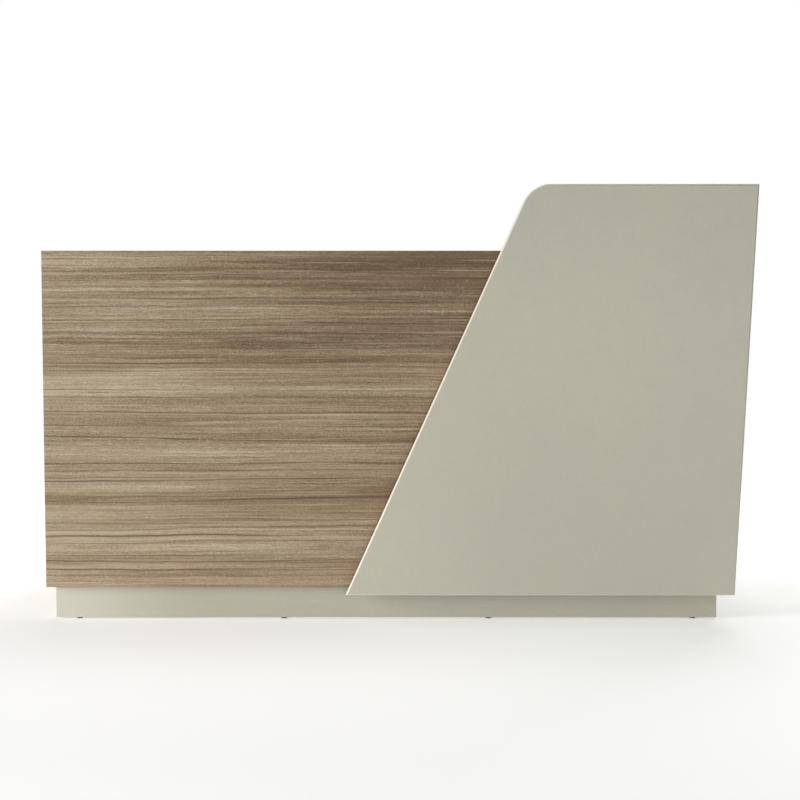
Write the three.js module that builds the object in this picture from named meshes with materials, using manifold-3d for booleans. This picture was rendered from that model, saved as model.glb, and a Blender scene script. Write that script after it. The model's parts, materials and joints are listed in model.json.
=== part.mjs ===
// A reception desk. Visitors see a wood-grain front with a taller slanted panel laid over its right half,
// on a set-back plinth. Behind them are a raised counter with a niche, a worktop, three drawers that lock,
// a keyboard tray and a cabinet with a hinged door.
// Millimetres, +Z up, +X to the visitor's right, visitors on the -Y side. The origin is on the floor, under
// the middle of the desk's outer box.

import * as THREE from "three";
import { mergeVertices } from "three/addons/utils/BufferGeometryUtils.js";
import Module from "manifold-3d";

const wasm = await Module();
wasm.setup();

// Overall size
const OVERALL_WIDTH = 1800; // wood front's left end to the slanted panel's top right corner
const OVERALL_DEPTH = 700; // slanted panel's face to the worktop's working edge
const DESK_HEIGHT = 750; // floor to the writing surface
const SCREEN_RISE = 190; // top of the wood front above the writing surface
const COUNTER_RISE = 165; // counter above the top of the wood front

// Boards and how they meet
const PANEL_THICKNESS = 25; // front, ends, worktop and counter
const BOARD_THICKNESS = 18; // inner boards, drawer fronts, door and plinth
const BACK_THICKNESS = 8; // backs of the pedestal and the cabinet
const EDGE_EASE = 1; // taken off every board's arrises
const FIT = 0.2; // between pieces that are fixed together
const RUNNING_GAP = 0.4; // between pieces that slide or turn in each other
const REVEAL = 3; // gaps round the drawer fronts and the door
const END_CORNER_RADIUS = 40; // top rear corners of the end panels
const STEP_RADIUS = 45; // inside corner where the right end panel steps up to the counter

// Slanted panel
const SLAB_THICKNESS = 25;
const SLAB_BOTTOM_WIDTH = 988;
const SLAB_SLANT = 24.2; // degrees between the left edge and upright
const SLAB_LEAN = 47; // how far the right edge leans outwards from bottom to top
const SLAB_SIDE_OVERHANG = 17; // past the right end panel, at the bottom
const SLAB_DROP = 17; // below the wood front
const SLAB_CORNER_RADIUS = 75; // top left corner
const SLAB_EDGE_RADIUS = 4; // quarter round on all its arrises

// Plinth and glides
const PLINTH_HEIGHT = 82;
const PLINTH_SETBACK = 20; // behind the faces of the front and the end panels
const TOE_SETBACK = 45; // kick boards behind the front edges of the pedestal and the cabinet
const GLIDE_HEIGHT = 3;
const GLIDE_RADIUS = 8;
const GLIDE_CHAMFER = 1.2;
const GLIDE_INSET = 60; // from the end of the board that stands on it
const FRONT_GLIDES = 4;

// Counter, and the niche under it
const COUNTER_DEPTH = 300;
const COUNTER_INSET = 10; // left end from the slanted panel's rounded corner
const COUNTER_END_INSET = 4; // right end from the slanted panel's top right corner
const COUNTER_CORNER_RADIUS = 25;
const UPRIGHT_SETBACK = 20; // behind the counter's working edge
const NICHE_SHELF_SETBACK = 45;

// Pedestal and cabinet
const PEDESTAL_WIDTH = 400;
const CABINET_WIDTH = 400;
const FRONT_SETBACK = 35; // drawer fronts and door behind the worktop's working edge
const FRONT_CLEARANCE = 1.5; // between a closed front and the boards behind it
const CABLE_SPACE = 75; // between the wood front and the backs of the pedestal and the cabinet
const CABINET_SHELF_SETBACK = 20;

// Drawers
const SMALL_FRONT_HEIGHT = 155;
const SMALL_DRAWERS = 2;
const DRAWER_BACK_SPACE = 50; // behind a closed drawer
const TRAY_CLEARANCE = 9; // under the lowest steel tray
const TRAY_TOP_MARGIN = 40; // steel tray's rim below the top of its front
const TRAY_SHEET = 1.5;
const TRAY_HEM_WIDTH = 7; // rim folded inwards
const TRAY_HEM_DEPTH = 3;

// Runners of the drawers and the keyboard tray
const RUNNER_HEIGHT = 35;
const RUNNER_WIDTH = 10;
const RUNNER_SHEET = 1.5;
const RUNNER_LIP = 6; // how far the channel's lips close its mouth
const RUNNER_STANDOFF = 3; // between a channel and the side of what it carries
const RUNNER_INSET = 4; // behind the front edge of the board that carries it
const RUNNER_RAISE = 9; // above the bottom of a steel tray
const RUNNER_END_SPACE = 12; // channel's rear end past the rail's

// Keyboard tray
const KEYBOARD_DEPTH = 380;
const KEYBOARD_SPACE = 67; // clear height over the keyboard tray
const KEYBOARD_SETBACK = 30; // behind the worktop's working edge

// Bow handles
const HANDLE_SPAN = 128; // between the legs' centres
const HANDLE_REACH = 30; // from the front's face to the outside of the bar
const HANDLE_BAR_RADIUS = 5;
const HANDLE_BEND = 13;
const HANDLE_DROP = 78; // bar below the top edge of a drawer front
const HANDLE_SIDE_INSET = 45; // door's bar from the door's free edge

// Butt hinges
const HINGE_LENGTH = 60;
const HINGE_INSET = 90; // hinge's middle from the end of the door
const LEAF_THICKNESS = 1.1;
const LEAF_DEPTH = 16;
const KNUCKLE_RADIUS = 3.2;
const PIN_RADIUS = 1.5;

// Magnetic catch that holds the door
const CATCH_LENGTH = 46;
const CATCH_WIDTH = 14;
const CATCH_DEPTH = 16;
const CATCH_EAR_LENGTH = 9;
const CATCH_EAR_THICKNESS = 2.5;
const CATCH_DROP = 40; // catch's middle below the top edge of the door

// Cam lock and its strike
const LOCK_DROP = 28; // lock's middle below the top edge of the drawer front
const LOCK_RADIUS = 8;
const LOCK_ROSE_RADIUS = 10.5;
const LOCK_ROSE_THICKNESS = 2;
const KEYWAY_WIDTH = 2;
const KEYWAY_HEIGHT = 8;
const KEYWAY_DEPTH = 6;
const TONGUE_WIDTH = 10;
const TONGUE_THICKNESS = 3;
const STRIKE_CLEARANCE = 6; // strike above the barrel
const STRIKE_CATCH = 6; // tongue's tip above the strike's lower edge when it is locked
const STRIKE_SHEET = 2;
const STRIKE_GAP = 5; // strike behind the closed drawer front
const STRIKE_FOOT = 22;
const STRIKE_LENGTH = 60;

// Cable grommet
const GROMMET_RADIUS = 30; // hole in the worktop
const GROMMET_WALL = 1.6;
const GROMMET_FLANGE = 6;
const GROMMET_FLANGE_HEIGHT = 2.5;
const GROMMET_LEDGE = 2.5;
const GROMMET_FROM_FRONT = 70; // middle of the hole from the wood front's inner face
const CAP_THICKNESS = 4;
const CAP_NOTCH_WIDTH = 22;
const CAP_NOTCH_DEPTH = 18;

// Facets of round pieces
const ARC_STEPS = 10;
const EASE_STEPS = 1;
const SLAB_EDGE_STEPS = 4;
const ROUND_SIDES = 24;
const GROMMET_SIDES = 48;
const BAR_SIDES = 8;
const BAR_STEPS = 30;

const QUARTER_TURN = Math.PI / 2;

const WOOD_GRAIN = { color: 0x9c8768, roughness: 0.55, metalness: 0 };
const GREY_LACQUER = { color: 0xb5b2a4, roughness: 0.5, metalness: 0 };
const PALE_BOARD = { color: 0xc9c6bb, roughness: 0.55, metalness: 0 };
const POWDER_COAT = { color: 0x8d8f8f, roughness: 0.6, metalness: 0 };
const ZINC_STEEL = { color: 0xa8abae, roughness: 0.35, metalness: 1 };
const SATIN_METAL = { color: 0xb9bbbd, roughness: 0.3, metalness: 1 };
const BLACK_PLASTIC = { color: 0x1d1d1f, roughness: 0.5, metalness: 0 };

// Levels, from the floor up
const zBase = GLIDE_HEIGHT + PLINTH_HEIGHT;
const zUnder = DESK_HEIGHT - PANEL_THICKNESS;
const zScreen = DESK_HEIGHT + SCREEN_RISE;
const zCounter = zScreen + COUNTER_RISE;
const zCounterUnder = zCounter - PANEL_THICKNESS;

// Depths, from the visitors' side to the working side
const yFace = -OVERALL_DEPTH / 2;
const yWood = yFace + SLAB_THICKNESS + FIT;
const yInner = yWood + PANEL_THICKNESS;
const yEdge = OVERALL_DEPTH / 2;
const yFronts = yEdge - FRONT_SETBACK;
const yFrontBacks = yFronts - BOARD_THICKNESS;
const yCarcass = yFrontBacks - FRONT_CLEARANCE;
const yBacks = yInner + CABLE_SPACE;
const yInside = yBacks + BACK_THICKNESS;
const yCounterEdge = yWood + COUNTER_DEPTH;

// Widths, from left to right
const xLeft = -OVERALL_WIDTH / 2;
const xRight = OVERALL_WIDTH / 2;
const xCarcass = xRight - SLAB_LEAN - SLAB_SIDE_OVERHANG;
const xInnerLeft = xLeft + PANEL_THICKNESS;
const xInnerRight = xCarcass - PANEL_THICKNESS;
const pedestalSide = [xInnerLeft + PEDESTAL_WIDTH - BOARD_THICKNESS, xInnerLeft + PEDESTAL_WIDTH];
const cabinetSide = [xInnerRight - CABINET_WIDTH, xInnerRight - CABINET_WIDTH + BOARD_THICKNESS];
const xKnee = (pedestalSide[1] + cabinetSide[0]) / 2;

// Slanted panel's outline, from which the counter takes its left end
const slant = THREE.MathUtils.degToRad(SLAB_SLANT);
const slabHeight = zCounter - zBase + SLAB_DROP;
const slabLeft = xRight - SLAB_LEAN - SLAB_BOTTOM_WIDTH;
const slabCorner = slabHeight * Math.tan(slant);
const slabCornerReach = SLAB_CORNER_RADIUS * Math.tan((QUARTER_TURN - slant) / 2);
const xCounter = slabLeft + slabCorner + slabCornerReach + COUNTER_INSET;

// Drawer sizes that the pedestal's inside sets
const pedestalInside = [xInnerLeft, pedestalSide[0]];
const xDrawer = (pedestalInside[0] + pedestalInside[1]) / 2;
const drawerFront = [pedestalInside[0] + REVEAL, pedestalSide[1] - REVEAL];
const xFrontMiddle = (drawerFront[0] + drawerFront[1]) / 2;
const slideSpace = FIT + RUNNER_WIDTH + RUNNER_STANDOFF;
const trayWidth = pedestalInside[1] - pedestalInside[0] - 2 * slideSpace;
const trayDepth = yFrontBacks - yInside - DRAWER_BACK_SPACE;
const trayRaise = BOARD_THICKNESS + TRAY_CLEARANCE - REVEAL;
const runnerLevel = trayRaise + RUNNER_RAISE + RUNNER_HEIGHT / 2;

// Strike's lower edge below the worktop, and the tongue that reaches up behind it
const strikeDrop = REVEAL + LOCK_DROP - LOCK_RADIUS - STRIKE_CLEARANCE;
const tongueLength = LOCK_RADIUS + STRIKE_CLEARANCE + STRIKE_CATCH;
const tongueBack = BOARD_THICKNESS + STRIKE_GAP + STRIKE_SHEET + RUNNING_GAP + TONGUE_THICKNESS;

const span = ([from, to]) => to - from;

// A named piece with its finish, placed in its group.
function piece(name, finish, geometry, [x, y, z]) {
  const mesh = new THREE.Mesh(geometry, new THREE.MeshStandardMaterial(finish));
  mesh.name = name;
  mesh.position.set(x, y, z);
  return mesh;
}

function gather(pieces, [x, y, z] = [0, 0, 0]) {
  const group = new THREE.Group();
  group.position.set(x, y, z);
  group.add(...pieces);
  return group;
}

function rectangle(width, height) {
  const outline = new THREE.Shape();
  outline.moveTo(0, 0);
  outline.lineTo(width, 0);
  outline.lineTo(width, height);
  outline.lineTo(0, height);
  return outline;
}

// A board cut to an outline, its arrises taken off all round.
function easedBoard(outline, thickness, ease, steps) {
  const settings = {
    depth: thickness - 2 * ease,
    bevelThickness: ease,
    bevelSize: ease,
    bevelOffset: -ease,
    bevelSegments: steps,
    curveSegments: ARC_STEPS,
  };
  return new THREE.ExtrudeGeometry(outline, settings).translate(0, 0, ease);
}

// Boards by the way they lie: flat, facing the visitors, or as a side wall. The three spans are their box.
function flatBoard(name, finish, x, y, z, outline = rectangle(span(x), span(y))) {
  const geometry = easedBoard(outline, span(z), EDGE_EASE, EASE_STEPS);
  return piece(name, finish, geometry, [x[0], y[0], z[0]]);
}

function frontBoard(name, finish, x, y, z, outline = rectangle(span(x), span(z))) {
  const geometry = easedBoard(outline, span(y), EDGE_EASE, EASE_STEPS);
  return piece(name, finish, turnToFront(geometry, span(y)), [x[0], y[0], z[0]]);
}

function sideBoard(name, finish, x, y, z, outline = rectangle(span(y), span(z))) {
  const geometry = easedBoard(outline, span(x), EDGE_EASE, EASE_STEPS);
  return piece(name, finish, turnToSide(geometry), [x[0], y[0], z[0]]);
}

// Stands a flat outline up in the XZ plane, its thickness along +Y.
function turnToFront(geometry, thickness) {
  return geometry.rotateX(QUARTER_TURN).translate(0, thickness, 0);
}

// Stands a flat outline up in the YZ plane, its thickness along +X.
function turnToSide(geometry) {
  return geometry.rotateX(QUARTER_TURN).rotateZ(QUARTER_TURN);
}

// A folded or rolled section of one length, drawn in the XZ plane and running along +Y.
function section(outline, length) {
  const geometry = new THREE.ExtrudeGeometry(outline, { depth: length, bevelEnabled: false });
  return turnToFront(geometry, length);
}

function block(x, y, z) {
  const geometry = new THREE.BoxGeometry(span(x), span(y), span(z));
  return geometry.translate(x[0] + span(x) / 2, y[0] + span(y) / 2, z[0] + span(z) / 2);
}

// An upright cylinder standing on the XY plane.
function post(radius, height, sides) {
  const geometry = new THREE.CylinderGeometry(radius, radius, height, sides);
  return geometry.rotateX(QUARTER_TURN).translate(0, 0, height / 2);
}

// A turned piece from a profile of [radius, height] points, standing upright.
function turned(profile, sides) {
  const points = profile.map(([radius, height]) => new THREE.Vector2(radius, height));
  return new THREE.LatheGeometry(points, sides).rotateX(QUARTER_TURN);
}

// Closed geometry as a solid that can be joined and cut.
function solid(geometry) {
  const bare = geometry.clone();
  bare.deleteAttribute("normal");
  bare.deleteAttribute("uv");
  const merged = mergeVertices(bare);
  const corners = merged.index.array;
  const triVerts = [];
  for (let i = 0; i < corners.length; i += 3) {
    const [a, b, c] = corners.slice(i, i + 3);
    if (a !== b && b !== c && c !== a) triVerts.push(a, b, c);
  }
  const mesh = new wasm.Mesh({
    numProp: 3,
    vertProperties: merged.attributes.position.array,
    triVerts: new Uint32Array(triVerts),
  });
  return new wasm.Manifold(mesh);
}

function fromSolid(made) {
  const mesh = made.getMesh();
  const geometry = new THREE.BufferGeometry();
  geometry.setAttribute("position", new THREE.BufferAttribute(mesh.vertProperties, 3));
  geometry.setIndex(new THREE.BufferAttribute(mesh.triVerts, 1));
  geometry.computeVertexNormals();
  return geometry;
}

// The overlay: a slanted, rounded and leaning outline with a quarter round on every edge.
function slantedPanel() {
  const outline = new THREE.Shape();
  outline.moveTo(0, 0);
  outline.lineTo(SLAB_BOTTOM_WIDTH, 0);
  outline.lineTo(SLAB_BOTTOM_WIDTH + SLAB_LEAN, slabHeight);
  const arcX = slabCorner + slabCornerReach;
  const arcZ = slabHeight - SLAB_CORNER_RADIUS;
  outline.absarc(arcX, arcZ, SLAB_CORNER_RADIUS, QUARTER_TURN, Math.PI - slant, false);
  const geometry = easedBoard(outline, SLAB_THICKNESS, SLAB_EDGE_RADIUS, SLAB_EDGE_STEPS);
  const place = [slabLeft, yFace, zBase - SLAB_DROP];
  return piece("slanted_panel", GREY_LACQUER, turnToFront(geometry, SLAB_THICKNESS), place);
}

function frontPanels() {
  const y = [yWood, yInner];
  return [
    frontBoard("front_panel", WOOD_GRAIN, [xLeft, xCarcass], y, [zBase, zScreen]),
    frontBoard("riser_panel", GREY_LACQUER, [xCounter, xCarcass], y, [zScreen + FIT, zCounterUnder - FIT]),
    slantedPanel(),
  ];
}

// The left end stops at the wood front's height. The right end steps up to carry the counter.
function endPanels() {
  const y = [yInner + FIT, yEdge];
  const depth = span(y);
  const low = zScreen - zBase;
  const high = zCounterUnder - FIT - zBase;
  const step = yCounterEdge - UPRIGHT_SETBACK - y[0];
  const lowerPart = () => {
    const outline = new THREE.Shape();
    const corner = [depth - END_CORNER_RADIUS, low - END_CORNER_RADIUS];
    outline.moveTo(0, 0);
    outline.lineTo(depth, 0);
    outline.absarc(...corner, END_CORNER_RADIUS, 0, QUARTER_TURN, false);
    return outline;
  };
  const left = lowerPart();
  left.lineTo(0, low);
  const right = lowerPart();
  const rise = [step + STEP_RADIUS, low + STEP_RADIUS];
  right.absarc(...rise, STEP_RADIUS, -QUARTER_TURN, -2 * QUARTER_TURN, true);
  right.lineTo(step, high);
  right.lineTo(0, high);
  return [
    sideBoard("left_end_panel", WOOD_GRAIN, [xLeft, xInnerLeft], y, [zBase, zScreen], left),
    sideBoard("right_end_panel", GREY_LACQUER, [xInnerRight, xCarcass], y, [zBase, zCounterUnder], right),
  ];
}

// A nail-on floor glide, standing on the floor under the middle of a board.
function glide(name, x, y) {
  const top = GLIDE_HEIGHT - FIT;
  const profile = [
    [0, 0],
    [GLIDE_RADIUS - GLIDE_CHAMFER, 0],
    [GLIDE_RADIUS, GLIDE_CHAMFER],
    [GLIDE_RADIUS, top],
    [0, top],
  ];
  return piece(name, BLACK_PLASTIC, turned(profile, ROUND_SIDES), [x, y, 0]);
}

function plinth() {
  const z = [GLIDE_HEIGHT, zBase - FIT];
  const ends = [xLeft + PLINTH_SETBACK, xCarcass - PLINTH_SETBACK];
  const front = [yWood + PLINTH_SETBACK, yWood + PLINTH_SETBACK + BOARD_THICKNESS];
  const sides = [front[1] + FIT, yEdge - PLINTH_SETBACK];
  const left = [ends[0], ends[0] + BOARD_THICKNESS];
  const right = [ends[1] - BOARD_THICKNESS, ends[1]];
  const pieces = [
    frontBoard("plinth_front", GREY_LACQUER, ends, front, z),
    sideBoard("plinth_left", GREY_LACQUER, left, sides, z),
    sideBoard("plinth_right", GREY_LACQUER, right, sides, z),
    glide("glide_rear_left", left[0] + BOARD_THICKNESS / 2, sides[1] - GLIDE_INSET),
    glide("glide_rear_right", right[0] + BOARD_THICKNESS / 2, sides[1] - GLIDE_INSET),
  ];
  const first = ends[0] + GLIDE_INSET;
  const spacing = (span(ends) - 2 * GLIDE_INSET) / (FRONT_GLIDES - 1);
  for (let i = 0; i < FRONT_GLIDES; i += 1) {
    pieces.push(glide(`glide_front_${i + 1}`, first + i * spacing, front[0] + BOARD_THICKNESS / 2));
  }
  return pieces;
}

function worktop() {
  const x = [xInnerLeft + FIT, xInnerRight - FIT];
  const y = [yInner + FIT, yEdge];
  const outline = rectangle(span(x), span(y));
  const hole = new THREE.Path();
  const yHole = yInner + GROMMET_FROM_FRONT;
  hole.absarc(xKnee - x[0], yHole - y[0], GROMMET_RADIUS + RUNNING_GAP, 0, 2 * Math.PI, true);
  outline.holes.push(hole);
  const geometry = easedBoard(outline, PANEL_THICKNESS, EDGE_EASE, EASE_STEPS);
  return piece("worktop", PALE_BOARD, geometry, [x[0], y[0], zUnder]);
}

// Counter behind the slanted panel, on the riser, the right end panel and an upright, with a shelf between.
function counter() {
  const x = [xCounter, xRight - COUNTER_END_INSET];
  const y = [yWood, yCounterEdge];
  const width = span(x);
  const depth = span(y);
  const round = COUNTER_CORNER_RADIUS;
  const outline = new THREE.Shape();
  outline.moveTo(0, 0);
  outline.lineTo(width, 0);
  outline.absarc(width - round, depth - round, round, 0, QUARTER_TURN, false);
  outline.absarc(round, depth - round, round, QUARTER_TURN, 2 * QUARTER_TURN, false);
  const upright = [xCounter, xCounter + BOARD_THICKNESS];
  const uprightDepth = [yInner + FIT, yCounterEdge - UPRIGHT_SETBACK];
  const niche = [DESK_HEIGHT + FIT, zCounterUnder - FIT];
  const shelfBottom = niche[0] + (span(niche) - BOARD_THICKNESS) / 2;
  const shelfWidth = [upright[1] + FIT, xInnerRight - FIT];
  const shelfDepth = [yInner + FIT, yCounterEdge - NICHE_SHELF_SETBACK];
  const shelfLevel = [shelfBottom, shelfBottom + BOARD_THICKNESS];
  return [
    flatBoard("counter_top", GREY_LACQUER, x, y, [zCounterUnder, zCounter], outline),
    sideBoard("counter_upright", GREY_LACQUER, upright, uprightDepth, niche),
    flatBoard("niche_shelf", PALE_BOARD, shelfWidth, shelfDepth, shelfLevel),
  ];
}

// Side, bottom, back and kick board of the pedestal or the cabinet. The side's lower corner is cut away for
// the toes. inside is the span between the end panel and the side, kick the span that the kick board closes.
function sideUnit(name, side, inside, kick) {
  const depth = yCarcass - yBacks;
  const height = zUnder - FIT - GLIDE_HEIGHT;
  const outline = new THREE.Shape();
  outline.moveTo(0, 0);
  outline.lineTo(depth - TOE_SETBACK, 0);
  outline.lineTo(depth - TOE_SETBACK, PLINTH_HEIGHT);
  outline.lineTo(depth, PLINTH_HEIGHT);
  outline.lineTo(depth, height);
  outline.lineTo(0, height);
  const z = [zBase, zUnder - FIT];
  const x = [inside[0] + FIT, inside[1] - FIT];
  const kickFace = yCarcass - TOE_SETBACK;
  const kickX = [kick[0] + FIT, kick[1] - FIT];
  const kickZ = [GLIDE_HEIGHT, zBase - FIT];
  const bottomZ = [zBase, zBase + BOARD_THICKNESS];
  const sideZ = [GLIDE_HEIGHT, zUnder - FIT];
  return [
    sideBoard(`${name}_side`, PALE_BOARD, side, [yBacks, yCarcass], sideZ, outline),
    flatBoard(`${name}_bottom`, PALE_BOARD, x, [yInside + FIT, yCarcass], bottomZ),
    frontBoard(`${name}_back`, PALE_BOARD, x, [yBacks, yInside], z),
    frontBoard(`${name}_kick`, GREY_LACQUER, kickX, [kickFace - BOARD_THICKNESS, kickFace], kickZ),
    glide(`glide_${name}`, side[0] + BOARD_THICKNESS / 2, yBacks + GLIDE_INSET),
  ];
}

// Runner channel against a board's face, open towards what it carries. way is 1 where that lies to its right.
function channel(name, way, xFaceOfBoard, yStart, length, level) {
  const half = RUNNER_HEIGHT / 2;
  const lip = half - RUNNER_LIP;
  const inner = half - RUNNER_SHEET;
  const mouth = RUNNER_WIDTH - RUNNER_SHEET;
  const upper = [
    [RUNNER_SHEET, inner],
    [mouth, inner],
    [mouth, lip],
    [RUNNER_WIDTH, lip],
    [RUNNER_WIDTH, half],
    [0, half],
  ];
  const lower = upper.map(([x, z]) => [x, -z]).reverse();
  const corners = [...upper, ...lower].map(([x, z]) => new THREE.Vector2(way * x, z));
  const geometry = section(new THREE.Shape(corners), length);
  return piece(name, ZINC_STEEL, geometry, [xFaceOfBoard + way * FIT, yStart, level]);
}

// Rail that runs inside a channel: a bar behind the channel's lips and a web out through its mouth.
function rail(way, reach, length) {
  const bar = [RUNNER_SHEET + RUNNING_GAP, RUNNER_WIDTH - RUNNER_SHEET - RUNNING_GAP];
  const barHalf = RUNNER_HEIGHT / 2 - RUNNER_SHEET - RUNNING_GAP;
  const webHalf = RUNNER_HEIGHT / 2 - RUNNER_LIP - RUNNING_GAP;
  const upper = [
    [reach, webHalf],
    [bar[1], webHalf],
    [bar[1], barHalf],
    [bar[0], barHalf],
  ];
  const lower = upper.map(([x, z]) => [x, -z]).reverse();
  const corners = [...upper, ...lower].map(([x, z]) => new THREE.Vector2(way * x, z));
  return section(new THREE.Shape(corners), length);
}

// Folded steel tray with an inward hem and a rail on each side. Its front wall is at y 0, its bottom at z 0.
function steelTray(height) {
  const half = trayWidth / 2;
  const shell = (wall, bottom, top) =>
    solid(block([wall - half, half - wall], [wall - trayDepth, -wall], [bottom, top]));
  const hollow = shell(TRAY_SHEET, TRAY_SHEET, height - TRAY_HEM_DEPTH);
  const mouth = shell(TRAY_HEM_WIDTH, height / 2, height + TRAY_HEM_DEPTH);
  let tray = shell(0, 0, height).subtract(hollow).subtract(mouth);
  const railLevel = RUNNER_RAISE + RUNNER_HEIGHT / 2;
  const railStart = half + RUNNER_WIDTH + RUNNER_STANDOFF;
  for (const way of [1, -1]) {
    const reach = RUNNER_WIDTH + RUNNER_STANDOFF + TRAY_SHEET / 2;
    const runner = rail(way, reach, trayDepth - RUNNER_INSET - FRONT_CLEARANCE);
    tray = tray.add(solid(runner.translate(-way * railStart, -trayDepth, railLevel)));
  }
  return fromSolid(tray);
}

// Round bar bent into a bow, its two legs standing on the XZ plane and the bar along X.
function bowHandle() {
  const half = HANDLE_SPAN / 2;
  const reach = HANDLE_REACH - HANDLE_BAR_RADIUS;
  const path = new THREE.CurvePath();
  const at = (x, y) => new THREE.Vector3(x, y, 0);
  const straight = (from, to) => path.add(new THREE.LineCurve3(from, to));
  const bend = (from, corner, to) => path.add(new THREE.QuadraticBezierCurve3(from, corner, to));
  const leftLeg = at(-half, reach - HANDLE_BEND);
  const leftEnd = at(HANDLE_BEND - half, reach);
  const rightEnd = at(half - HANDLE_BEND, reach);
  const rightLeg = at(half, reach - HANDLE_BEND);
  straight(at(-half, FIT), leftLeg);
  bend(leftLeg, at(-half, reach), leftEnd);
  straight(leftEnd, rightEnd);
  bend(rightEnd, at(half, reach), rightLeg);
  straight(rightLeg, at(half, FIT));
  const bar = new THREE.Shape();
  bar.absarc(0, 0, HANDLE_BAR_RADIUS, 0, 2 * Math.PI, false);
  const settings = { steps: BAR_STEPS, curveSegments: BAR_SIDES / 2, extrudePath: path };
  return new THREE.ExtrudeGeometry(bar, settings);
}

// Turning barrel of the cam lock: rose, keyway and a tongue that lies level until it is locked.
// Its axis runs along Y, with y 0 at the drawer front's face.
function lockBarrel() {
  const profile = [
    [0, -tongueBack],
    [LOCK_RADIUS, -tongueBack],
    [LOCK_RADIUS, FIT],
    [LOCK_ROSE_RADIUS, FIT],
    [LOCK_ROSE_RADIUS, LOCK_ROSE_THICKNESS],
    [0, LOCK_ROSE_THICKNESS],
  ];
  const points = profile.map(([radius, y]) => new THREE.Vector2(radius, y));
  const barrel = solid(new THREE.LatheGeometry(points, ROUND_SIDES));
  const half = TONGUE_WIDTH / 2;
  const tongue = block([0, tongueLength], [-tongueBack, TONGUE_THICKNESS - tongueBack], [-half, half]);
  const keyway = block(
    [-KEYWAY_WIDTH / 2, KEYWAY_WIDTH / 2],
    [LOCK_ROSE_THICKNESS - KEYWAY_DEPTH, 2 * LOCK_ROSE_THICKNESS],
    [-KEYWAY_HEIGHT / 2, KEYWAY_HEIGHT / 2],
  );
  return fromSolid(barrel.add(solid(tongue)).subtract(solid(keyway)));
}

// Steel angle under the worktop. Its hanging leg stops the raised tongue, and so the drawer.
function strike() {
  const leg = strikeDrop - FIT;
  const outline = new THREE.Shape();
  outline.moveTo(0, 0);
  outline.lineTo(0, leg);
  outline.lineTo(-STRIKE_FOOT, leg);
  outline.lineTo(-STRIKE_FOOT, leg - STRIKE_SHEET);
  outline.lineTo(-STRIKE_SHEET, leg - STRIKE_SHEET);
  outline.lineTo(-STRIKE_SHEET, 0);
  const angle = new THREE.ExtrudeGeometry(outline, { depth: STRIKE_LENGTH, bevelEnabled: false });
  const place = [xFrontMiddle - STRIKE_LENGTH / 2, yFrontBacks - STRIKE_GAP, zUnder - strikeDrop];
  return piece("lock_strike", ZINC_STEEL, turnToSide(angle), place);
}

// A drawer: its front laps over the edge of the pedestal's side and lies inside the end panel.
function drawer(name, bottom, height, locks) {
  const x = drawerFront.map((edge) => edge - xDrawer);
  const middle = xFrontMiddle - xDrawer;
  const lockLevel = height - LOCK_DROP;
  const outline = rectangle(span(x), height);
  if (locks) {
    const hole = new THREE.Path();
    hole.absarc(span(x) / 2, lockLevel, LOCK_RADIUS + RUNNING_GAP, 0, 2 * Math.PI, true);
    outline.holes.push(hole);
  }
  const trayHeight = height - trayRaise - TRAY_TOP_MARGIN;
  const pieces = [
    frontBoard(`${name}_front`, WOOD_GRAIN, x, [0, BOARD_THICKNESS], [0, height], outline),
    piece(`${name}_tray`, POWDER_COAT, steelTray(trayHeight), [0, -FIT, trayRaise]),
    piece(`${name}_handle`, SATIN_METAL, bowHandle(), [middle, BOARD_THICKNESS, height - HANDLE_DROP]),
  ];
  if (locks) {
    pieces.push(piece("lock_barrel", SATIN_METAL, lockBarrel(), [middle, BOARD_THICKNESS, lockLevel]));
  }
  return gather(pieces, [xDrawer, yFrontBacks, bottom]);
}

// Three drawers from the top down: two small ones, and a deep one in what height is left.
function drawers() {
  const pieces = [];
  const lowest = zBase + REVEAL;
  let top = zUnder - REVEAL;
  const deepHeight = top - lowest - SMALL_DRAWERS * (SMALL_FRONT_HEIGHT + REVEAL);
  const heights = [...Array(SMALL_DRAWERS).fill(SMALL_FRONT_HEIGHT), deepHeight];
  const length = trayDepth + RUNNER_END_SPACE;
  const yStart = yCarcass - RUNNER_INSET - length;
  heights.forEach((height, i) => {
    const name = `drawer_${i + 1}`;
    const bottom = top - height;
    const level = bottom + runnerLevel;
    pieces.push(drawer(name, bottom, height, i === 0));
    pieces.push(channel(`${name}_runner_left`, 1, pedestalInside[0], yStart, length, level));
    pieces.push(channel(`${name}_runner_right`, -1, pedestalInside[1], yStart, length, level));
    top = bottom - REVEAL;
  });
  return pieces;
}

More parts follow.
